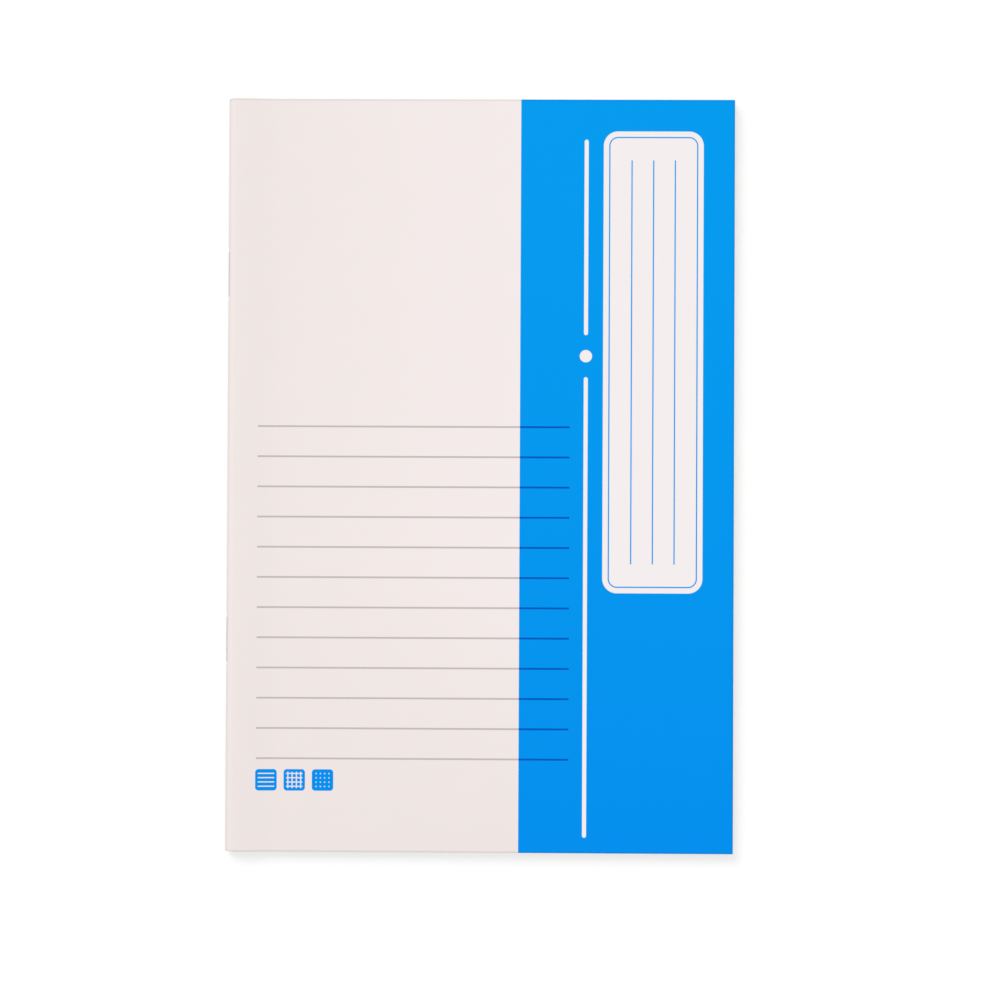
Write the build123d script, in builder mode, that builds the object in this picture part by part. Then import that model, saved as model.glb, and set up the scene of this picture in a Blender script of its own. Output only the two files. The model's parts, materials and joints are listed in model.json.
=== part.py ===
# Stapled exercise book, lying closed on its back cover.
# X runs from the spine to the fore-edge, Y from the tail to the head, Z up through the leaves.
# The origin is under the middle of the closed book.
import os

from build123d import *

# Overall sizes, in millimetres
page_width = 140.0  # outside of the spine to the fore-edge
page_height = 208.0  # tail to head
sheet_count = 15  # folded sheets nested in the cover, each with two leaves

# Paper and card
paper_thickness = 0.08
paper_air = 0.02  # air between one sheet and the next
card_thickness = 0.22
card_air = 0.03  # air between the cover and the outermost sheet

# Staples
wire_diameter = 0.5
crown_length = 13.0  # over the two legs
clinch_length = 4.6  # from a leg's centre line to the tip that is bent down in the gutter
upper_staple_from_head = 48.4
lower_staple_from_tail = 58.4

# Clearances round the wire
gutter_clearance = 0.1  # inside the innermost fold
hole_clearance = 0.04  # in the holes that the legs pass through
crown_clearance = 0.05  # between the crown and the back of the spine

# The front leaves stand off at the clinched wire and come down to the back ones over this length
settle_length = 12.0

# The folds are nested about one axis, with the clinched wire lying along it
wire_radius = wire_diameter / 2
gutter_radius = wire_radius + gutter_clearance
leg_hole_radius = wire_radius + hole_clearance
sheet_pitch = paper_thickness + paper_air
block_radius = gutter_radius + sheet_count * sheet_pitch - paper_air
cover_radius = block_radius + card_air
spine_radius = cover_radius + card_thickness
crown_distance = spine_radius + crown_clearance + wire_radius

# Places in the closed book
overall_width = page_width + crown_clearance + wire_diameter
fore_edge_x = overall_width / 2
fold_x = fore_edge_x - page_width + spine_radius
fold_z = spine_radius
fold_lead = gutter_radius  # straight stretch of a bend before its leaves begin
leaf_length = fore_edge_x - fold_x - fold_lead
settle_drop = 2 * gutter_radius - paper_air
leg_spacing = crown_length - wire_diameter
upper_staple_y = page_height / 2 - upper_staple_from_head
lower_staple_y = lower_staple_from_tail - page_height / 2

# Cross-section of the book, seen from the tail with the fold axis at its origin
fold_section = Plane((fold_x, 0, fold_z), x_dir=(1, 0, 0), z_dir=(0, -1, 0))
# Looking out of the gutter along the staples' legs
leg_plane = Plane((fold_x, 0, fold_z), x_dir=(0, 1, 0), z_dir=(-1, 0, 0))

os.makedirs("parts", exist_ok=True)


def save(piece, name):
    """Label a finished piece and write it as a file of its own."""
    piece.part.label = name
    export_step(piece.part, f"parts/{name}.step")


def make_back_leaf(name, inner, thickness):
    """A leaf that lies flat from its bend to the fore-edge."""
    with BuildPart() as leaf:
        with BuildSketch(fold_section):
            with Locations((fold_lead, -inner)):
                Rectangle(leaf_length, thickness, align=(Align.MIN, Align.MAX))
        extrude(amount=page_height / 2, both=True)
    save(leaf, name)


def draw_settled_edge(height):
    """One face of a front leaf in section: level at the bend, then down in two arcs, then level."""
    start = (fold_lead, height)
    halfway = (fold_lead + settle_length / 2, height - settle_drop / 2)
    settled = (fold_lead + settle_length, height - settle_drop)
    TangentArc(start, halfway, tangent=(1, 0))
    TangentArc(settled, halfway, tangent=(-1, 0))
    Line(settled, (fold_lead + leaf_length, height - settle_drop))


def make_front_leaf(name, inner, thickness):
    """A leaf that comes down past the staples to lie on the ones below it."""
    with BuildPart() as leaf:
        with BuildSketch(fold_section):
            with BuildLine():
                draw_settled_edge(inner)
                draw_settled_edge(inner + thickness)
                for distance, drop in ((fold_lead, 0), (fold_lead + leaf_length, settle_drop)):
                    Line((distance, inner - drop), (distance, inner - drop + thickness))
            make_face()
        extrude(amount=page_height / 2, both=True)
    save(leaf, name)


def make_fold(name, inner, thickness):
    """The bend between two leaves: half a tube with a short lead at each side, pierced by four legs."""
    outer = inner + thickness
    with BuildPart() as fold:
        with BuildSketch(fold_section):
            with BuildLine():
                Line((fold_lead, outer), (0, outer))
                CenterArc((0, 0), outer, 90, 180)
                Line((0, -outer), (fold_lead, -outer))
                Line((fold_lead, -outer), (fold_lead, -inner))
                Line((fold_lead, -inner), (0, -inner))
                CenterArc((0, 0), inner, 270, -180)
                Line((0, inner), (fold_lead, inner))
                Line((fold_lead, inner), (fold_lead, outer))
            make_face()
        extrude(amount=page_height / 2, both=True)
        with BuildSketch(leg_plane):
            for staple_y in (upper_staple_y, lower_staple_y):
                with Locations((staple_y - leg_spacing / 2, 0), (staple_y + leg_spacing / 2, 0)):
                    Circle(leg_hole_radius)
        extrude(amount=crown_distance, mode=Mode.SUBTRACT)
    save(fold, name)


def make_folded_sheet(front_name, back_name, fold_name, inner, thickness):
    """One folded piece of paper or card, in its three stretches."""
    make_front_leaf(front_name, inner, thickness)
    make_back_leaf(back_name, inner, thickness)
    make_fold(fold_name, inner, thickness)


def make_staple(name, staple_y):
    """A wire staple: crown behind the spine, legs through the folds, tips clinched in the gutter."""
    crown_x = fold_x - crown_distance
    head_leg_y = staple_y + leg_spacing / 2
    tail_leg_y = staple_y - leg_spacing / 2
    with BuildPart() as staple:
        with BuildLine(Plane.XY.offset(fold_z)) as wire:
            FilletPolyline(
                (fold_x, head_leg_y - clinch_length),
                (fold_x, head_leg_y),
                (crown_x, head_leg_y),
                (crown_x, tail_leg_y),
                (fold_x, tail_leg_y),
                (fold_x, tail_leg_y + clinch_length),
                radius=leg_hole_radius,
            )
        with BuildSketch(Plane(wire.line @ 0, z_dir=wire.line % 0)):
            Circle(wire_radius)
        sweep()
    save(staple, name)


# The card cover
make_folded_sheet("front_cover", "back_cover", "cover_fold", cover_radius, card_thickness)

# The sheets, from the outermost to the one at the centre of the book
for number in range(1, sheet_count + 1):
    sheet_name = f"sheet_{number:02d}"
    make_folded_sheet(
        f"{sheet_name}_front_leaf",
        f"{sheet_name}_back_leaf",
        f"{sheet_name}_fold",
        gutter_radius + (sheet_count - number) * sheet_pitch,
        paper_thickness,
    )

# The staples
make_staple("upper_staple", upper_staple_y)
make_staple("lower_staple", lower_staple_y)
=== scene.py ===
"""Looks of a stapled exercise book: a printed card cover, nested ruled sheets and two wire staples.

All sizes are in metres. Print and ruling are laid out in page coordinates, which every paper piece
carries as its UV map "page": across from the back of the spine, and down from the head.
"""
import itertools
import json
import math
import random

import bpy
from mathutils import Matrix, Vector


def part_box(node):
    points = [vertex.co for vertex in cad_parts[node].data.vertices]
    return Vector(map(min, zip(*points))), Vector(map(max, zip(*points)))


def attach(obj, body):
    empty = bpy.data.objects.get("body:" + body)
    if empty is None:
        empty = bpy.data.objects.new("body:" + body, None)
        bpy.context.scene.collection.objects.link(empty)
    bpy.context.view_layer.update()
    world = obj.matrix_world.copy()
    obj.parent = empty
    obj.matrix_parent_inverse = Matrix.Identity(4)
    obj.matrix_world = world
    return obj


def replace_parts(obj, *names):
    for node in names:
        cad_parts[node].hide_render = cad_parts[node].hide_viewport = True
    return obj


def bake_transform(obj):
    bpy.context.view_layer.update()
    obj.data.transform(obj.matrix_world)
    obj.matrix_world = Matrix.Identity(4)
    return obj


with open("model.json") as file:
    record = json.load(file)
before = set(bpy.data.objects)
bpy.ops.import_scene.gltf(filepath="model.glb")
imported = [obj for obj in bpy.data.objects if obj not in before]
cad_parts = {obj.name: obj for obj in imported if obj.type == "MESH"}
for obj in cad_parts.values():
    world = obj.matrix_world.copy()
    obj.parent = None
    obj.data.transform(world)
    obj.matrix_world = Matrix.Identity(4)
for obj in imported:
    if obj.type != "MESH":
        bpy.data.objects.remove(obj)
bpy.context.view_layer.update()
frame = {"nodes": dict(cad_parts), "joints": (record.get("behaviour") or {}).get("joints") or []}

mm = 0.001

# Places that the frame gives
joint_places = {joint["name"]: joint["pos_m"] for joint in frame["joints"]}
fold_x = joint_places["book_opening"][0]
fold_z = joint_places["book_opening"][2]
panel_low, panel_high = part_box("front_cover")
bend_end_x = panel_low.x
fore_edge_x = panel_high.x
half_height = panel_high.y
spine_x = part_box("cover_fold")[0].x
page_width = fore_edge_x - spine_x
page_height = 2 * half_height
sheet_count = sum(name.startswith("sheet_") and name.endswith("_fold") for name in frame["nodes"])
upper_staple_low, upper_staple_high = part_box("upper_staple")
lower_staple_low, lower_staple_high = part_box("lower_staple")
upper_staple_y = (upper_staple_low.y + upper_staple_high.y) / 2
lower_staple_y = (lower_staple_low.y + lower_staple_high.y) / 2
crown_length = upper_staple_high.y - upper_staple_low.y

# How the closed block lies
settle_length = 12.0 * mm  # the front leaves come down past the staples over this length
fore_edge_spring = 0.5 * mm  # how much thicker the block stands at the fore-edge
spring_curve = 1.5  # power of the distance from the bends that the block rises by
block_ripple = 0.15 * mm
ripple_size = 70.0 * mm
gap_unevenness = 8.0  # higher values gather the leaves into tighter bunches
least_gap = 0.02
trim_slack = 0.08 * mm  # how far the leaves' cut edges miss each other
trim_border = 0.15 * mm  # the trimming knife draws the cover's edges down over this width
trim_draw = 0.07 * mm
head_seed = 3
tail_seed = 8
trim_seed = 21

# Folds
fold_recess = 0.15 * mm  # the backs of the folds end this far short of the trimmed edges
fold_taper = 0.03 * mm  # and more by this from the back leaf's side to the front leaf's
bend_lean = math.radians(5)  # lean of the lines that a bend's turning is spread along

# Staples
clinch_length = 4.6 * mm
clinch_bow = 0.12 * mm
wire_bend_radius = 0.29 * mm
crown_flatness = 0.5
cut_tip = 0.45  # share of the wire's radius that is left at its cut tips
staple_press = 0.19 * mm  # how deep the crowns dent the back of the cover
dent_start = 0.6  # a dent begins where the spine bulges by this share of its radius
dent_run_out = 1.5 * mm  # and it fades over this length past the ends of the crown

# Meshes: columns and rows of a leaf, and of half a bend
cover_mesh = ((160, 60), (40, 240))
sheet_mesh = ((40, 30), (14, 160))
column_crowding = 3.0  # gathers a leaf's columns towards its bend
wire_sides = 16
wire_bend_steps = 6
sharp_corner = math.radians(15)  # edges that turn by more than this look sharp


# Node building

class Term:
    """What a node gives. Arithmetic on terms adds math nodes, so that formulas read as usual."""

    def __init__(self, socket):
        self.socket = socket
        self.tree = socket.id_data

    def math(self, operation, *others):
        return arithmetic(self.tree, operation, self, *others)

    def __add__(self, other):
        return self.math("ADD", other)

    def __radd__(self, other):
        return self.math("ADD", other)

    def __sub__(self, other):
        return self.math("SUBTRACT", other)

    def __rsub__(self, other):
        return arithmetic(self.tree, "SUBTRACT", other, self)

    def __mul__(self, other):
        return self.math("MULTIPLY", other)

    def __rmul__(self, other):
        return self.math("MULTIPLY", other)

    def __truediv__(self, other):
        return self.math("DIVIDE", other)

    def __rtruediv__(self, other):
        return arithmetic(self.tree, "DIVIDE", other, self)

    def __pow__(self, other):
        return self.math("POWER", other)

    def __abs__(self):
        return self.math("ABSOLUTE")

    def at_least(self, other):
        return self.math("MAXIMUM", other)

    def at_most(self, other):
        return self.math("MINIMUM", other)


def feed(socket, value):
    """Link a socket to what another node gives, or set it to a plain value."""
    if isinstance(value, Term):
        socket.id_data.links.new(value.socket, socket)
    else:
        socket.default_value = value


def add_node(tree, kind, settings=None, inputs=None):
    """Add a node, with its settings and with its inputs by name or number."""
    made = tree.nodes.new(kind)
    for name, value in (settings or {}).items():
        setattr(made, name, value)
    for name, value in (inputs or {}).items():
        feed(made.inputs[name], value)
    return made


def result_of(tree, kind, settings=None, inputs=None, output=0):
    """What a new node gives."""
    return Term(add_node(tree, kind, settings, inputs).outputs[output])


def arithmetic(tree, operation, *terms):
    return result_of(tree, "ShaderNodeMath", {"operation": operation}, dict(enumerate(terms)))


def ramp(value, low, high, kind="LINEAR"):
    """0 up to low, 1 from high on, and a straight or smooth rise between them."""
    limits = {"Value": value, "From Min": low, "From Max": high}
    return result_of(value.tree, "ShaderNodeMapRange", {"interpolation_type": kind}, limits, "Result")


def between(value, low, high, softness):
    """1 between low and high, 0 elsewhere."""
    past_low = ramp(value, low - softness, low + softness)
    past_high = ramp(value, high - softness, high + softness)
    return past_low * (1.0 - past_high)


def join(tree, x, y, z):
    return result_of(tree, "ShaderNodeCombineXYZ", inputs={0: x, 1: y, 2: z})


def split(vector):
    made = add_node(vector.tree, "ShaderNodeSeparateXYZ", inputs={0: vector})
    return [Term(socket) for socket in made.outputs]


def noise(place, size, detail=2.0, roughness=0.5):
    """Random variation from 0 to 1, in blots about as large as size."""
    look = {"Vector": place, "Scale": 1.0 / size, "Detail": detail, "Roughness": roughness}
    return result_of(place.tree, "ShaderNodeTexNoise", inputs=look, output="Fac")


# Geometry trees for the leaves, the bends and the staples

slab_counts = ("Columns", "Rows")
slab_finishes = ("Upper Finish", "Lower Finish", "Edge Finish")
upper_faces_from = 0.75  # share of the way through a slab
lower_faces_to = 0.25


def new_geometry_tree(name, numbers, counts=(), materials=()):
    """A geometry tree with named inputs. Returns the tree and its inputs by name."""
    tree = bpy.data.node_groups.new(name, "GeometryNodeTree")
    kinds = ((numbers, "NodeSocketFloat"), (counts, "NodeSocketInt"), (materials, "NodeSocketMaterial"))
    for direction in ("INPUT", "OUTPUT"):
        tree.interface.new_socket("Geometry", in_out=direction, socket_type="NodeSocketGeometry")
    for labels, kind in kinds:
        for label in labels:
            tree.interface.new_socket(label, in_out="INPUT", socket_type=kind)
    entry = tree.nodes.new("NodeGroupInput")
    return tree, {socket.name: Term(socket) for socket in entry.outputs if socket.name}


def end_geometry_tree(tree, geometry):
    feed(tree.nodes.new("NodeGroupOutput").inputs["Geometry"], geometry)
    return tree


def start_slab(tree, given):
    """A fine-meshed slab, and how far each point lies across, along and through it, from 0 to 1."""
    counts = {"Vertices X": given["Columns"], "Vertices Y": given["Rows"], "Vertices Z": 2}
    slab = result_of(tree, "GeometryNodeMeshCube", inputs=counts, output="Mesh")
    kept = add_node(tree, "GeometryNodeCaptureAttribute")
    kept.capture_items.new("VECTOR", "Place")
    feed(kept.inputs["Geometry"], slab)
    feed(kept.inputs["Place"], result_of(tree, "GeometryNodeInputPosition"))
    fractions = [part + 0.5 for part in split(Term(kept.outputs["Place"]))]
    return Term(kept.outputs["Geometry"]), *fractions


def store(geometry, name, value, kind, domain):
    """Keep a value on a geometry as a named attribute."""
    settings = {"data_type": kind, "domain": domain}
    inputs = {"Geometry": geometry, "Name": name, "Value": value}
    return result_of(geometry.tree, "GeometryNodeStoreNamedAttribute", settings, inputs)


def end_slab(tree, given, slab, place, through):
    """Move the slab's points to their places, map the page on it and dress its faces and edges."""
    x, y, z = place
    moves = {"Geometry": slab, "Position": join(tree, x, y, z)}
    moved = result_of(tree, "GeometryNodeSetPosition", inputs=moves)
    page = join(tree, x - spine_x, half_height - y, 0.0)
    mapped = store(moved, "page", page, "FLOAT2", "CORNER")
    tinted = store(mapped, "tint", given["Tint"], "FLOAT", "POINT")
    smooth = result_of(tree, "GeometryNodeSetShadeSmooth", inputs={"Geometry": tinted})
    angle = result_of(tree, "GeometryNodeInputMeshEdgeAngle", output="Unsigned Angle")
    corners = {
        "Geometry": smooth,
        "Selection": angle.math("GREATER_THAN", sharp_corner),
        "Shade Smooth": False,
    }
    shaded = result_of(tree, "GeometryNodeSetShadeSmooth", {"domain": "EDGE"}, corners)
    dressed = result_of(tree, "GeometryNodeRealizeInstances", inputs={"Geometry": shaded})
    upper = through.math("GREATER_THAN", upper_faces_from)
    lower = through.math("LESS_THAN", lower_faces_to)
    for label, faces in (("Edge Finish", True), ("Upper Finish", upper), ("Lower Finish", lower)):
        finish = {"Geometry": dressed, "Selection": faces, "Material": given[label]}
        dressed = result_of(tree, "GeometryNodeSetMaterial", inputs=finish)
    return end_geometry_tree(tree, dressed)


def build_leaf_tree():
    """A leaf or cover panel from its bend to the fore-edge: settled past the staples, lightly sprung."""
    sizes = ("Length", "Tail Y", "Head Y", "Lower Face", "Thickness", "Crowding")
    lie = ("Settle Length", "Settle Drop", "Tail Share", "Head Share", "Spring", "Ripple", "Ripple Size")
    trim = ("Trim Border", "Trim Draw", "Tint")
    tree, given = new_geometry_tree("leaf", sizes + lie + trim, slab_counts, slab_finishes)
    slab, across, along, through = start_slab(tree, given)
    border = given["Trim Border"]
    column = 1.0 / (given["Columns"] - 1.0)
    row = 1.0 / (given["Rows"] - 1.0)
    at_fore_edge = ramp(across, 1.0 - column, 1.0)
    at_tail = 1.0 - ramp(along, 0.0, row)
    at_head = ramp(along, 1.0 - row, 1.0)
    distance = (given["Length"] - border) * ramp(across, 0.0, 1.0 - column) ** given["Crowding"]
    distance = distance + border * at_fore_edge
    x = bend_end_x + distance
    height = given["Head Y"] - given["Tail Y"]
    y = given["Tail Y"] + border * (1.0 - at_tail + at_head)
    y = y + (height - 2.0 * border) * ramp(along, row, 1.0 - row)
    settled = ramp(distance, 0.0, given["Settle Length"], "SMOOTHSTEP")
    share = given["Tail Share"] + (given["Head Share"] - given["Tail Share"]) * along
    spot = join(tree, x / given["Ripple Size"], y / given["Ripple Size"], 0.0)
    spring = given["Spring"] + given["Ripple"] * noise(spot, 1.0, detail=0.0)
    rise = share * (distance / given["Length"]) ** spring_curve * spring
    drawn = given["Trim Draw"] * at_fore_edge.at_least(at_tail).at_least(at_head)
    z = given["Lower Face"] + through * (given["Thickness"] - drawn)
    z = z - settled * given["Settle Drop"] + rise
    return end_slab(tree, given, slab, (x, y, z), through)


def build_bend_tree():
    """Part of a bend round the fold axis. Where it is pressed, its back is dented under the staples."""
    sizes = ("Inner Radius", "Thickness", "Path Start", "Path End", "Recess", "Taper", "Tint")
    pressing = ("Upper Staple Y", "Lower Staple Y", "Crown Length", "Press")
    tree, given = new_geometry_tree("bend", sizes + pressing, slab_counts, slab_finishes)
    slab, across, along, through = start_slab(tree, given)
    inner = given["Inner Radius"]
    lead = bend_end_x - fold_x
    arc_end = lead + inner * math.pi
    share = given["Path Start"] + across * (given["Path End"] - given["Path Start"])
    path = share * (arc_end + lead)
    turned = ramp(path, lead, arc_end)
    turn = turned * math.pi
    straight = (lead - path).at_least(0.0) + (path - arc_end).at_least(0.0)
    outward = turn.math("SINE")
    short = given["Recess"] * outward ** 2.0 + given["Taper"] * turned
    y = (along - 0.5) * (page_height - 2.0 * short)
    dent = given["Press"] * ramp(outward, dent_start, 1.0, "SMOOTHSTEP")
    half_crown = given["Crown Length"] / 2
    thickness = given["Thickness"]
    for staple in ("Upper Staple Y", "Lower Staple Y"):
        off_staple = abs(y - given[staple])
        under = 1.0 - ramp(off_staple, half_crown, half_crown + dent_run_out, "SMOOTHSTEP")
        thickness = thickness - dent * under
    radius = inner + through * thickness
    x = fold_x + straight - radius * outward
    z = fold_z - radius * turn.math("COSINE")
    return end_slab(tree, given, slab, (x, y, z), through)


def build_wire_tree():
    """A staple swept along its path: corners bent round, crown flattened and tips cut."""
    sizes = ("Wire Radius", "Bend Radius", "Crown Inside X", "Flatness", "Draw", "Tip Length")
    tree, given = new_geometry_tree("staple wire", sizes, materials=("Finish",))
    bends = {
        "Curve": given["Geometry"],
        "Count": wire_bend_steps,
        "Radius": given["Bend Radius"],
        "Limit Radius": True,
    }
    path = result_of(tree, "GeometryNodeFilletCurve", {"mode": "POLY"}, bends)
    from_tip = result_of(tree, "GeometryNodeSplineParameter", output="Length")
    length = result_of(tree, "GeometryNodeSplineLength", output="Length")
    to_tip = from_tip.at_most(length - from_tip)
    outline = {"Resolution": wire_sides, "Radius": given["Wire Radius"]}
    sweep = {
        "Curve": path,
        "Profile Curve": result_of(tree, "GeometryNodeCurvePrimitiveCircle", inputs=outline),
        "Scale": cut_tip + (1.0 - cut_tip) * ramp(to_tip, 0.0, given["Tip Length"]),
        "Fill Caps": True,
    }
    wire = result_of(tree, "GeometryNodeCurveToMesh", inputs=sweep)
    x, y, z = split(result_of(tree, "GeometryNodeInputPosition"))
    beyond = (x - given["Crown Inside X"]).at_most(0.0)
    flattened = x - beyond * (1.0 - given["Flatness"])
    drawn = fold_x + (flattened - fold_x) * given["Draw"]
    moves = {"Geometry": wire, "Position": join(tree, drawn, y, z)}
    shaped = result_of(tree, "GeometryNodeSetPosition", inputs=moves)
    smooth = result_of(tree, "GeometryNodeSetShadeSmooth", inputs={"Geometry": shaped})
    realized = result_of(tree, "GeometryNodeRealizeInstances", inputs={"Geometry": smooth})
    finish = {"Geometry": realized, "Material": given["Finish"]}
    return end_geometry_tree(tree, result_of(tree, "GeometryNodeSetMaterial", inputs=finish))


def make_piece(name, tree, inputs, source=None):
    """Run a geometry tree once, on a path if it needs one, and keep the result as a plain mesh."""
    carrier = bpy.data.objects.new(name + "_carrier", source or bpy.data.meshes.new(name + "_carrier"))
    bpy.context.scene.collection.objects.link(carrier)
    modifier = carrier.modifiers.new("shape", "NODES")
    modifier.node_group = tree
    for socket in tree.interface.items_tree:
        if socket.in_out == "INPUT" and socket.name in inputs:
            modifier[socket.identifier] = inputs[socket.name]
    evaluated = carrier.evaluated_get(bpy.context.evaluated_depsgraph_get())
    mesh = bpy.data.meshes.new_from_object(evaluated)
    carrier.modifiers.remove(modifier)
    bpy.data.objects.remove(carrier)
    mesh.name = name
    piece = bpy.data.objects.new(name, mesh)
    bpy.context.scene.collection.objects.link(piece)
    return piece


# Colours, as they look on screen

def srgb(red, green, blue):
    """A screen colour, from 0 to 255, as linear light."""
    full, dark_limit, dark_slope, offset, power = 255, 0.04045, 12.92, 0.055, 2.4
    linear = []
    for level in (red, green, blue):
        share = level / full
        is_dark = share <= dark_limit
        linear.append(share / dark_slope if is_dark else ((share + offset) / (1 + offset)) ** power)
    return (*linear, 1.0)


white = (1.0, 1.0, 1.0, 1.0)
ground_by_spine = srgb(240, 231, 229)
ground_by_panel = srgb(244, 235, 234)
# painted shade: the ground darkens towards the tail, as the light falls off there
ground_shaded_at_tail = srgb(238, 229, 227)
bare_card = srgb(244, 238, 238)
panel_at_head = srgb(1, 155, 239)
panel_at_tail = srgb(1, 143, 238)
rule_on_ground = srgb(196, 187, 186)
rule_on_panel = srgb(0, 86, 184)
inside_board = srgb(233, 230, 225)
board_fleck = srgb(186, 178, 166)
page_white = srgb(246, 244, 238)
page_rule = srgb(150, 176, 202)
cut_card = srgb(250, 249, 247)
cut_paper = srgb(246, 243, 236)
wire_scuff = srgb(168, 168, 172)
wire_zinc = (0.8, 0.8, 0.81, 1.0)  # as linear light

# How the colours vary, and the shade painted into them
tail_shade_start = 0.6  # share of the height from which painted shade darkens the ground towards the tail
panel_tone_curve = 1.5  # power of the share of the height that the panel darkens by
edge_tints = (0.86, 1.0)
spine_painted_shade = 0.1  # share of the card's brightness that painted shade takes from the back of the spine, where the cover rolls round
spine_painted_shade_width = 1.7 * mm
trim_painted_shade = 0.18  # painted shade: share of the brightness taken from the trimmed edges of the cover
trim_painted_shade_width = 0.7 * mm

# Layout of the front cover's print, across from the spine and down from the head
print_softness = 0.03 * mm
panel_start = 80.95 * mm
hairline_across = 99.07 * mm
hairline_width = 1.13 * mm
hairline_spans = ((11.1 * mm, 65.2 * mm), (76.8 * mm, 203.7 * mm))
hairline_dot = 3.4 * mm
cover_rule_first = 90.68 * mm
cover_rule_pitch = 8.329 * mm
cover_rule_count = 12
cover_rule_span = (8.55 * mm, 94.65 * mm)
cover_rule_width = 0.5 * mm
label_span = (103.8 * mm, 131.4 * mm)
label_drop = (8.8 * mm, 136.4 * mm)
label_radius = 4.0 * mm
label_inset = 1.5 * mm
label_line = 0.35 * mm
label_rule_count = 3
mark_start = 8.4 * mm
mark_size = 5.9 * mm
mark_pitch = 7.8 * mm
mark_drop = 185.3 * mm
mark_radius = 0.9 * mm
mark_inset = 0.7 * mm
mark_line = 0.32 * mm
mark_line_count = 4

# Ruling of the pages
page_rule_first = 24.0 * mm
page_rule_pitch = 8.0 * mm
page_rule_count = 22
page_rule_width = 0.26 * mm

# Grain of the card and of the cut edges
card_cloud_size = 9.0 * mm
card_tooth_size = 0.35 * mm
card_edge_grain = 0.08 * mm
paper_edge_grain = 0.05 * mm


# Materials

def start_material(name, sockets):
    """A material with one shader. Returns the material, its tree and its shader."""
    material = bpy.data.materials.new(name)
    material.use_nodes = True
    shader = material.node_tree.nodes["Principled BSDF"]
    for label, value in sockets.items():
        shader.inputs[label].default_value = value
    return material, material.node_tree, shader


def page_place(tree):
    """Where a point lies on the page."""
    return result_of(tree, "ShaderNodeUVMap", {"uv_map": "page"}, output="UV")


def across_and_down(page):
    """The two page coordinates of a place."""
    return split(page)[:2]


def stretched(page, across_size, down_size):
    """Page coordinates squeezed so that noise of size 1 on them makes grain this wide and this long."""
    across, down = across_and_down(page)
    return join(page.tree, across / across_size, down / down_size, 0.0)


def mix(factor, first, second):
    """The first colour where factor is 0, the second where it is 1."""
    factor_slot, first_slot, second_slot, result_slot = 0, 6, 7, 2
    inputs = {factor_slot: factor, first_slot: first, second_slot: second}
    return result_of(factor.tree, "ShaderNodeMix", {"data_type": "RGBA"}, inputs, result_slot)


def shade(colour, brightness):
    """A colour made lighter or darker."""
    inputs = {"Vector": colour, "Scale": brightness}
    return result_of(colour.tree, "ShaderNodeVectorMath", {"operation": "SCALE"}, inputs)


def roughen(shader, height, depth, strength=1.0):
    """Give a shader a fine relief this deep."""
    relief = {"Height": height, "Distance": depth, "Strength": strength}
    feed(shader.inputs["Normal"], result_of(height.tree, "ShaderNodeBump", inputs=relief))


def ruled(position, first, pitch, count, width):
    """1 on evenly spaced lines, 0 between them."""
    nearest = ((position - first) / pitch).math("ROUND").at_least(0.0).at_most(count - 1.0)
    off_line = abs(position - first - nearest * pitch)
    return 1.0 - ramp(off_line, width / 2 - print_softness, width / 2 + print_softness)


def rounded_patch(across, down, span, drop, radius):
    """1 inside a rectangle with rounded corners, 0 outside it."""
    past_side = abs(across - sum(span) / 2) - ((span[1] - span[0]) / 2 - radius)
    past_end = abs(down - sum(drop) / 2) - ((drop[1] - drop[0]) / 2 - radius)
    outside = (past_side.at_least(0.0) ** 2.0 + past_end.at_least(0.0) ** 2.0).math("SQRT")
    return 1.0 - ramp(outside, radius - print_softness, radius + print_softness)


def inset_span(span, inset):
    return (span[0] + inset, span[1] - inset)


def print_hairline(across, down):
    """The broken line beside the panel's edge, with a dot in its gap."""
    half = hairline_width / 2
    span = (hairline_across - half, hairline_across + half)
    marks = [rounded_patch(across, down, span, drop, half) for drop in hairline_spans]
    gap_middle = (hairline_spans[0][1] + hairline_spans[1][0]) / 2
    half_dot = hairline_dot / 2
    dot_span = (hairline_across - half_dot, hairline_across + half_dot)
    dot_drop = (gap_middle - half_dot, gap_middle + half_dot)
    return marks[0] + marks[1] + rounded_patch(across, down, dot_span, dot_drop, half_dot)


def print_label(across, down):
    """A plain label to write on, turned to run down the panel. Returns its field and its lines."""
    field = rounded_patch(across, down, label_span, label_drop, label_radius)
    frame_span = inset_span(label_span, label_inset)
    frame_drop = inset_span(label_drop, label_inset)
    outer = rounded_patch(across, down, frame_span, frame_drop, label_radius - label_inset)
    inner_span = inset_span(frame_span, label_line)
    inner_drop = inset_span(frame_drop, label_line)
    inner = rounded_patch(across, down, inner_span, inner_drop, label_radius - label_inset - label_line)
    pitch = (inner_span[1] - inner_span[0]) / (label_rule_count + 1)
    lines = ruled(across, inner_span[0] + pitch, pitch, label_rule_count, label_line)
    margin = 2 * label_radius
    lines = lines * between(down, label_drop[0] + margin, label_drop[1] - margin, print_softness)
    return field, outer - inner + lines * inner


def print_marks(across, down):
    """Three small tiles whose bare lines show ruled, squared and dotted paper. Returns their ink."""
    drop = (mark_drop, mark_drop + mark_size)
    field_drop = inset_span(drop, mark_inset)
    pitch = mark_size / (mark_line_count + 1)
    level_lines = ruled(down, mark_drop + pitch, pitch, mark_line_count, mark_line)
    ink = []
    for number, kind in enumerate(("ruled", "squared", "dotted")):
        start = mark_start + number * mark_pitch
        span = (start, start + mark_size)
        tile = rounded_patch(across, down, span, drop, mark_radius)
        field = rounded_patch(across, down, inset_span(span, mark_inset), field_drop, mark_line)
        upright_lines = ruled(across, start + pitch, pitch, mark_line_count, mark_line)
        pattern = level_lines
        if kind == "squared":
            pattern = level_lines.at_least(upright_lines)
        if kind == "dotted":
            pattern = level_lines * upright_lines
        ink.append(tile - pattern * field)
    return sum(ink)


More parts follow.
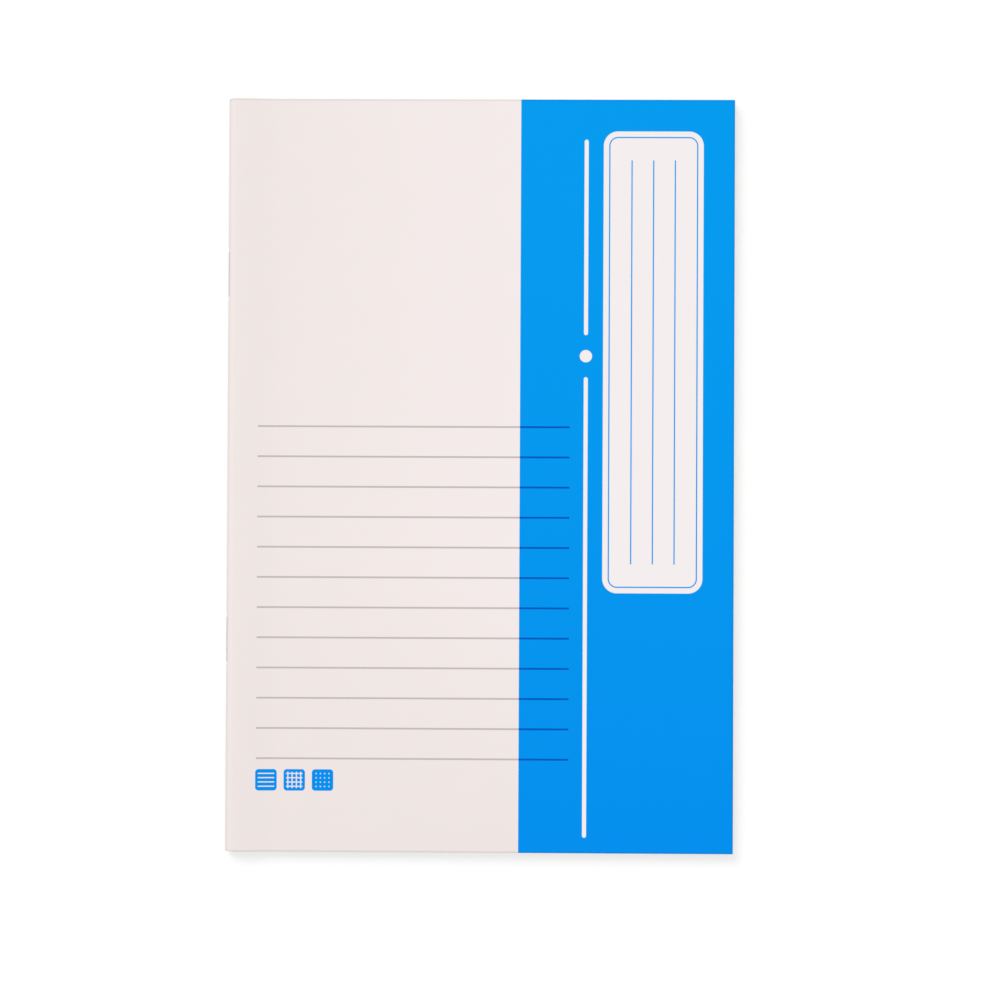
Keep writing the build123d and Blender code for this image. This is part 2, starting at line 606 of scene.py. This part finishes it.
def card_grain(page):
    """The faint clouding and the fine tooth of card."""
    cloud = noise(page, card_cloud_size, detail=3.0)
    tooth = noise(page, card_tooth_size, detail=3.0, roughness=0.6)
    return cloud, tooth


def print_front(colour, across, down):
    """The front cover's print on the colour of its card."""
    inked = ramp(across, panel_start - print_softness, panel_start + print_softness)
    panel = mix(ramp(down, 0.0, page_height) ** panel_tone_curve, panel_at_head, panel_at_tail)
    colour = mix(inked, colour, panel)
    rules = ruled(down, cover_rule_first, cover_rule_pitch, cover_rule_count, cover_rule_width)
    rules = rules * between(across, *cover_rule_span, print_softness)
    colour = mix(rules, colour, mix(inked, rule_on_ground, rule_on_panel))
    label, label_lines = print_label(across, down)
    colour = mix(print_hairline(across, down) + label, colour, bare_card)
    colour = mix(label_lines, colour, panel)
    return mix(print_marks(across, down), colour, panel)


def coated_card(name, is_printed):
    """Outside of the cover: off-white coated card, with the front's print where it has it, and painted
    shade at its edges and towards the tail.
    """
    least_tone, cloud_tone, tooth_tone = 0.988, 0.014, 0.01
    least_roughness, cloud_roughness, tooth_roughness = 0.4, 0.12, 0.1
    cloud_relief, relief_depth, relief_strength = 0.5, 0.012 * mm, 0.6
    material, tree, shader = start_material(name, {"Specular IOR Level": 0.025})
    page = page_place(tree)
    across, down = across_and_down(page)
    cloud, tooth = card_grain(page)
    colour = mix(ramp(across, 0.0, panel_start), ground_by_spine, ground_by_panel)
    # Painted shade: the ground darkens towards the tail
    colour = mix(ramp(down, tail_shade_start * page_height, page_height), colour, ground_shaded_at_tail)
    if is_printed:
        colour = print_front(colour, across, down)
    # Painted shade at the trimmed edges of the cover
    from_trim = down.at_most(page_height - down).at_most(page_width - across)
    trim_shading = 1.0 - trim_painted_shade + trim_painted_shade * ramp(from_trim, 0.0, trim_painted_shade_width)
    # Painted shade along the back of the spine, where the cover rolls round
    spine_shading = 1.0 - spine_painted_shade + spine_painted_shade * ramp(across, 0.0, spine_painted_shade_width, "SMOOTHSTEP")
    brightness = trim_shading * spine_shading * (least_tone + cloud_tone * cloud + tooth_tone * tooth)
    roughness = least_roughness + cloud_roughness * cloud + tooth_roughness * tooth
    feed(shader.inputs["Base Color"], shade(colour, brightness))
    feed(shader.inputs["Roughness"], roughness)
    roughen(shader, tooth + cloud_relief * cloud, relief_depth, relief_strength)
    return material


def card_inside():
    """Inside of the cover: the uncoated face of the board, with fibres and flecks in it."""
    fibre_width, fibre_length = 0.25 * mm, 1.6 * mm
    fleck_size, fleck_start, fleck_full, fleck_strength = 0.9 * mm, 0.7, 0.76, 0.25
    least_tone, cloud_tone, fibre_tone = 0.965, 0.03, 0.04
    least_roughness, fibre_roughness = 0.78, 0.15
    tooth_relief, relief_depth = 0.4, 0.02 * mm
    material, tree, shader = start_material("board inside", {"Specular IOR Level": 0.1})
    page = page_place(tree)
    cloud, tooth = card_grain(page)
    fibre = noise(stretched(page, fibre_width, fibre_length), 1.0, detail=4.0, roughness=0.65)
    fleck = ramp(noise(page, fleck_size, detail=1.0), fleck_start, fleck_full)
    colour = mix(fleck * fleck_strength, inside_board, board_fleck)
    brightness = least_tone + cloud_tone * cloud + fibre_tone * fibre
    feed(shader.inputs["Base Color"], shade(colour, brightness))
    feed(shader.inputs["Roughness"], least_roughness + fibre_roughness * fibre)
    roughen(shader, fibre + tooth_relief * tooth, relief_depth)
    return material


def ruled_paper():
    """Both faces of a leaf: writing paper with faint lines printed across it."""
    cloud_size, fibre_length, fibre_width = 5.0 * mm, 0.9 * mm, 0.22 * mm
    least_ink, fibre_ink = 0.75, 0.35
    least_tone, cloud_tone, fibre_tone = 0.972, 0.03, 0.02
    least_roughness, fibre_roughness = 0.82, 0.12
    cloud_relief, relief_depth = 0.5, 0.015 * mm
    material, tree, shader = start_material("ruled paper", {"Specular IOR Level": 0.1})
    page = page_place(tree)
    down = across_and_down(page)[1]
    cloud = noise(page, cloud_size, detail=4.0, roughness=0.6)
    fibre = noise(stretched(page, fibre_length, fibre_width), 1.0, detail=4.0, roughness=0.65)
    lines = ruled(down, page_rule_first, page_rule_pitch, page_rule_count, page_rule_width)
    colour = mix(lines * (least_ink + fibre_ink * fibre), page_white, page_rule)
    brightness = least_tone + cloud_tone * cloud + fibre_tone * fibre
    feed(shader.inputs["Base Color"], shade(colour, brightness))
    feed(shader.inputs["Roughness"], least_roughness + fibre_roughness * fibre)
    roughen(shader, fibre + cloud_relief * cloud, relief_depth)
    return material


def cut_edge(name, colour, grain):
    """Cut edges of card or paper: torn fibre ends, with the trimming knife's fine strokes."""
    blot_size = 6.0 * mm
    least_tone, stroke_tone, blot_tone = 0.9, 0.1, 0.04
    least_roughness, stroke_roughness = 0.85, 0.1
    relief_depth = 0.02 * mm
    material, tree, shader = start_material(name, {"Specular IOR Level": 0.05})
    page = page_place(tree)
    strokes = noise(stretched(page, grain, grain), 1.0, detail=3.0, roughness=0.6)
    blots = noise(page, blot_size, detail=2.0)
    tint = result_of(tree, "ShaderNodeAttribute", {"attribute_name": "tint"}, output="Fac")
    blotted = mix(blots, colour, bare_card)
    brightness = tint * (least_tone + stroke_tone * strokes + blot_tone * blots)
    feed(shader.inputs["Base Color"], shade(blotted, brightness))
    feed(shader.inputs["Roughness"], least_roughness + stroke_roughness * strokes)
    roughen(shader, strokes, relief_depth)
    return material


def drawn_wire():
    """Staple wire: bright zinc, with fine lines drawn along it and dull scuffs."""
    line_width, line_length = 0.05 * mm, 1.8 * mm
    scuff_size, scuff_start, scuff_full, scuff_strength = 0.7 * mm, 0.5, 0.75, 0.5
    least_tone, line_tone = 0.9, 0.18
    least_roughness, line_roughness, scuff_roughness = 0.26, 0.12, 0.2
    relief_depth = 0.006 * mm
    material, tree, shader = start_material("drawn wire", {"Metallic": 1.0})
    place = result_of(tree, "ShaderNodeTexCoord", output="Object")
    x, y, z = split(place)
    along_crown = join(tree, x / line_width, y / line_length, z / line_width)
    lines = noise(along_crown, 1.0, detail=3.0, roughness=0.6)
    scuffs = ramp(noise(place, scuff_size, detail=3.0), scuff_start, scuff_full)
    colour = mix(scuffs * scuff_strength, wire_zinc, wire_scuff)
    roughness = least_roughness + line_roughness * lines + scuff_roughness * scuffs
    feed(shader.inputs["Base Color"], shade(colour, least_tone + line_tone * lines))
    feed(shader.inputs["Roughness"], roughness)
    roughen(shader, lines, relief_depth)
    return material


# Pieces

def section_of(back_node):
    """Inner radius and thickness of a folded piece, from its back leaf."""
    low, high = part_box(back_node)
    return fold_z - high.z, high.z - low.z


def stack_shares(seed):
    """How much of the block's spring lies below each leaf, from the bottom leaf to the front cover."""
    chance = random.Random(seed)
    gaps = [chance.random() ** gap_unevenness + least_gap for leaf in range(2 * sheet_count + 1)]
    return [reached / sum(gaps) for reached in itertools.accumulate(gaps)]


head_shares = stack_shares(head_seed)
tail_shares = stack_shares(tail_seed)
trim_chance = random.Random(trim_seed)


def make_leaf(name, node, lower_face, thickness, drop, stack_place, finishes, counts, slack, tint):
    """One leaf or cover panel in place of its node.

    Its stack place is 0 for the lowest leaf, twice the number of sheets for the front cover, and None
    for the back cover.
    """
    upper, lower, edge = finishes
    columns, rows = counts
    is_back_cover = stack_place is None
    drawn_edge = trim_draw if stack_place == 2 * sheet_count else 0.0
    inputs = {
        "Length": fore_edge_x - bend_end_x + trim_chance.uniform(-slack, slack),
        "Tail Y": -half_height + trim_chance.uniform(-slack, slack),
        "Head Y": half_height + trim_chance.uniform(-slack, slack),
        "Lower Face": lower_face,
        "Thickness": thickness,
        "Crowding": column_crowding,
        "Settle Length": settle_length,
        "Settle Drop": drop,
        "Tail Share": 0.0 if is_back_cover else tail_shares[stack_place],
        "Head Share": 0.0 if is_back_cover else head_shares[stack_place],
        "Spring": fore_edge_spring,
        "Ripple": block_ripple,
        "Ripple Size": ripple_size,
        "Trim Border": trim_border,
        "Trim Draw": drawn_edge,
        "Tint": tint,
        "Columns": columns,
        "Rows": rows,
        "Upper Finish": upper,
        "Lower Finish": lower,
        "Edge Finish": edge,
    }
    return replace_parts(make_piece(name, leaf_tree, inputs), node)


def make_bend(name, node, inner, thickness, path_ends, press, finishes, counts, tint):
    """Half a bend of a sheet or of the cover, for its node."""
    outside, inside, edge = finishes
    columns, rows = counts
    inputs = {
        "Inner Radius": inner,
        "Thickness": thickness,
        "Path Start": path_ends[0],
        "Path End": path_ends[1],
        "Recess": fold_recess,
        "Taper": fold_taper,
        "Tint": tint,
        "Upper Staple Y": upper_staple_y,
        "Lower Staple Y": lower_staple_y,
        "Crown Length": crown_length,
        "Press": press,
        "Columns": columns,
        "Rows": rows,
        "Upper Finish": outside,
        "Lower Finish": inside,
        "Edge Finish": edge,
    }
    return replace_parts(make_piece(name, bend_tree, inputs), node)


def bend_halves(inner):
    """A bend's two halves: their names' endings, the shares of its path, and the lines to turn along.

    Half of the turning falls to each half, spread so that all of the open bend lies close to its middle.
    """
    reach = 2 * inner * (math.cos(bend_lean) + math.sin(bend_lean))
    behind = fold_x - reach * math.cos(bend_lean)
    level = inner - reach * math.sin(bend_lean)
    lower_line = ((fold_x, 0, fold_z - inner), (behind, 0, fold_z - level))
    upper_line = ((behind, 0, fold_z + level), (fold_x, 0, fold_z + inner))
    return ("_back", (0.0, 0.5), lower_line), ("_front", (0.5, 1.0), upper_line)


def make_folded(names, nodes, bodies, stack_places, faces, counts, slack, press, tint):
    """A folded sheet or the cover: back leaf, both halves of its bend, and front leaf.

    Returns the front leaf. For a sheet the caller gives it to its body; the cover's front leaf is given
    to none.
    """
    back_name, bend_name, front_name = names
    back_node, bend_node, front_node = nodes
    back_body, front_body = bodies
    outside, inside, edge, front_outside = faces
    leaf_counts, bend_counts = counts
    inner, thickness = section_of(back_node)
    drop = fold_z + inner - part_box(front_node)[0].z
    back_low = fold_z - inner - thickness
    back_faces = (inside, outside, edge)
    back_sizes = (back_low, thickness, 0.0, stack_places[0])
    back = make_leaf(back_name, back_node, *back_sizes, back_faces, leaf_counts, slack, tint)
    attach(back, back_body)
    bend_faces = (outside, inside, edge)
    for ending, path_ends, (start, end) in bend_halves(inner):
        bend_sizes = (inner, thickness, path_ends, press)
        bend = make_bend(bend_name + ending, bend_node, *bend_sizes, bend_faces, bend_counts, tint)
        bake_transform(bend)
    front_faces = (front_outside, inside, edge)
    front_sizes = (fold_z + inner, thickness, drop, stack_places[1])
    front = make_leaf(front_name, front_node, *front_sizes, front_faces, leaf_counts, slack, tint)
    return front


def make_cover():
    """The card cover. Its front panel bends up from the spine along a soft roll."""
    outside = coated_card("plain card", False)
    inside = card_inside()
    edge = cut_edge("card edge", cut_card, card_edge_grain)
    front = make_folded(
        names=("back_cover_panel", "spine_wrap", "front_cover_panel"),
        nodes=("back_cover", "cover_fold", "front_cover"),
        bodies=("book_base", "front_leaf_01"),
        stack_places=(None, 2 * sheet_count),
        faces=(outside, inside, edge, coated_card("printed card", True)),
        counts=cover_mesh,
        slack=0.0,
        press=staple_press,
        tint=1.0,
    )
    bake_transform(front)


def make_sheets():
    """The ruled sheets, from the outermost to the one at the centre of the book."""
    paper = ruled_paper()
    edge = cut_edge("paper edge", cut_paper, paper_edge_grain)
    for number in range(1, sheet_count + 1):
        label = f"{number:02d}"
        back_body = "book_base" if number == 1 else f"back_leaf_{label}"
        front_body = f"front_leaf_{label}"
        front = make_folded(
            names=(f"back_page_{label}", f"page_bend_{label}", f"front_page_{label}"),
            nodes=(f"sheet_{label}_back_leaf", f"sheet_{label}_fold", f"sheet_{label}_front_leaf"),
            bodies=(back_body, front_body),
            stack_places=(number - 1, 2 * sheet_count - number),
            faces=(paper, paper, edge, paper),
            counts=sheet_mesh,
            slack=trim_slack,
            press=0.0,
            tint=trim_chance.uniform(*edge_tints),
        )
        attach(front, front_body)


def staple_path(node):
    """The staple's centre line as a curve from tip to tip, its wire's radius and its crown's place."""
    low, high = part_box(node)
    radius = (high.z - low.z) / 2
    crown_x = low.x + radius
    half_crown = (high.y - low.y) / 2 - radius
    middle = (high.y + low.y) / 2
    half_path = [
        (fold_x - clinch_bow, half_crown - clinch_length),
        (fold_x + clinch_bow, half_crown - clinch_length / 2),
        (fold_x, half_crown),
        (crown_x, half_crown),
    ]
    points = [(x, middle + y) for x, y in half_path] + [(x, middle - y) for x, y in reversed(half_path)]
    curve = bpy.data.curves.new(node + "_path", "CURVE")
    curve.dimensions = "3D"
    spline = curve.splines.new("POLY")
    spline.points.add(len(points) - 1)
    for point, (x, y) in zip(spline.points, points):
        point.co = (x, y, fold_z, 1.0)
    return curve, radius, crown_x


def make_staples():
    """The two wire staples, drawn tight so that their crowns lie in the dents of the cover."""
    wire = drawn_wire()
    for node, name in (("upper_staple", "upper_wire"), ("lower_staple", "lower_wire")):
        curve, radius, crown_x = staple_path(node)
        crown_inside = crown_x + radius
        inputs = {
            "Wire Radius": radius,
            "Bend Radius": wire_bend_radius,
            "Crown Inside X": crown_inside,
            "Flatness": crown_flatness,
            "Draw": (fold_x - spine_x - staple_press) / (fold_x - crown_inside),
            "Tip Length": 2 * radius,
            "Finish": wire,
        }
        piece = make_piece(name, wire_tree, inputs, source=curve)
        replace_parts(piece, node)
        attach(piece, "staples")


# Stage

key_share = 0.3  # share of the light that comes from the soft lamp, the rest from all round
lamp_spread = math.radians(30)  # how wide the lamp looks from the book
lamp_elevation = math.radians(46)
lamp_bearing = math.radians(124)  # from the head and the spine side
floor_size = 8.0
floor_bounce = 0.8  # share of the light that the floor throws back on the book
floor_grey = 0.5  # share of it that the camera sees, so that the shadow stays faint
floor_glow = 0.52
floor_gap = 0.02 * mm
camera_place = (9.7 * mm, -14.4 * mm, 600 * mm)
camera_turn = (0.73, 0.37, 0.26)  # degrees from looking straight down
camera_lens = 77.8
camera_sensor = 36.0


def seen_directly(tree):
    """1 for rays from the camera and for mirrored or refracted ones, 0 for those that carry light."""
    path = add_node(tree, "ShaderNodeLightPath")
    camera = Term(path.outputs["Is Camera Ray"])
    glossy = Term(path.outputs["Is Glossy Ray"])
    clear = Term(path.outputs["Is Transmission Ray"])
    return camera.at_least(glossy).at_least(clear)


def add_surroundings():
    """Even light from all round, which looks white."""
    world = bpy.data.worlds.new("studio")
    bpy.context.scene.world = world
    world.use_nodes = True
    background = world.node_tree.nodes["Background"]
    background.inputs["Color"].default_value = white
    ambient = 1.0 - key_share
    feed(background.inputs["Strength"], ambient + (1.0 - ambient) * seen_directly(world.node_tree))


def add_lamp():
    """A broad, far lamp above the upper left, as strong as its share of the light."""
    lamp = bpy.data.lights.new("soft lamp", "SUN")
    lamp.angle = lamp_spread
    lamp.energy = key_share * math.pi / math.sin(lamp_elevation)
    level = math.cos(lamp_elevation)
    towards = Vector(
        (level * math.cos(lamp_bearing), level * math.sin(lamp_bearing), math.sin(lamp_elevation))
    )
    holder = bpy.data.objects.new("soft_lamp", lamp)
    holder.rotation_euler = towards.to_track_quat("Z", "Y").to_euler()
    bpy.context.scene.collection.objects.link(holder)


def add_floor():
    """A floor that looks white and still takes the book's shadow."""
    half = floor_size / 2
    corners = ((-half, -half), (half, -half), (half, half), (-half, half))
    mesh = bpy.data.meshes.new("floor")
    mesh.from_pydata([(x, y, -floor_gap) for x, y in corners], [], [(0, 1, 2, 3)])
    plain = {"Roughness": 1.0, "Specular IOR Level": 0.0, "Emission Color": white}
    material, tree, shader = start_material("white floor", plain)
    seen = seen_directly(tree)
    feed(shader.inputs["Base Color"], floor_bounce - (floor_bounce - floor_grey) * seen)
    feed(shader.inputs["Emission Strength"], floor_glow * seen)
    mesh.materials.append(material)
    floor = bpy.data.objects.new("floor", mesh)
    bpy.context.scene.collection.objects.link(floor)


def add_camera():
    """A camera almost straight above the book."""
    camera = bpy.data.cameras.new("camera")
    camera.lens = camera_lens
    camera.sensor_width = camera_sensor
    holder = bpy.data.objects.new("camera", camera)
    holder.location = camera_place
    holder.rotation_euler = [math.radians(angle) for angle in camera_turn]
    bpy.context.scene.collection.objects.link(holder)
    bpy.context.scene.camera = holder


bpy.context.scene.view_settings.view_transform = "Standard"
leaf_tree = build_leaf_tree()
bend_tree = build_bend_tree()
wire_tree = build_wire_tree()
make_cover()
make_sheets()
make_staples()
add_surroundings()
add_lamp()
add_floor()
add_camera()
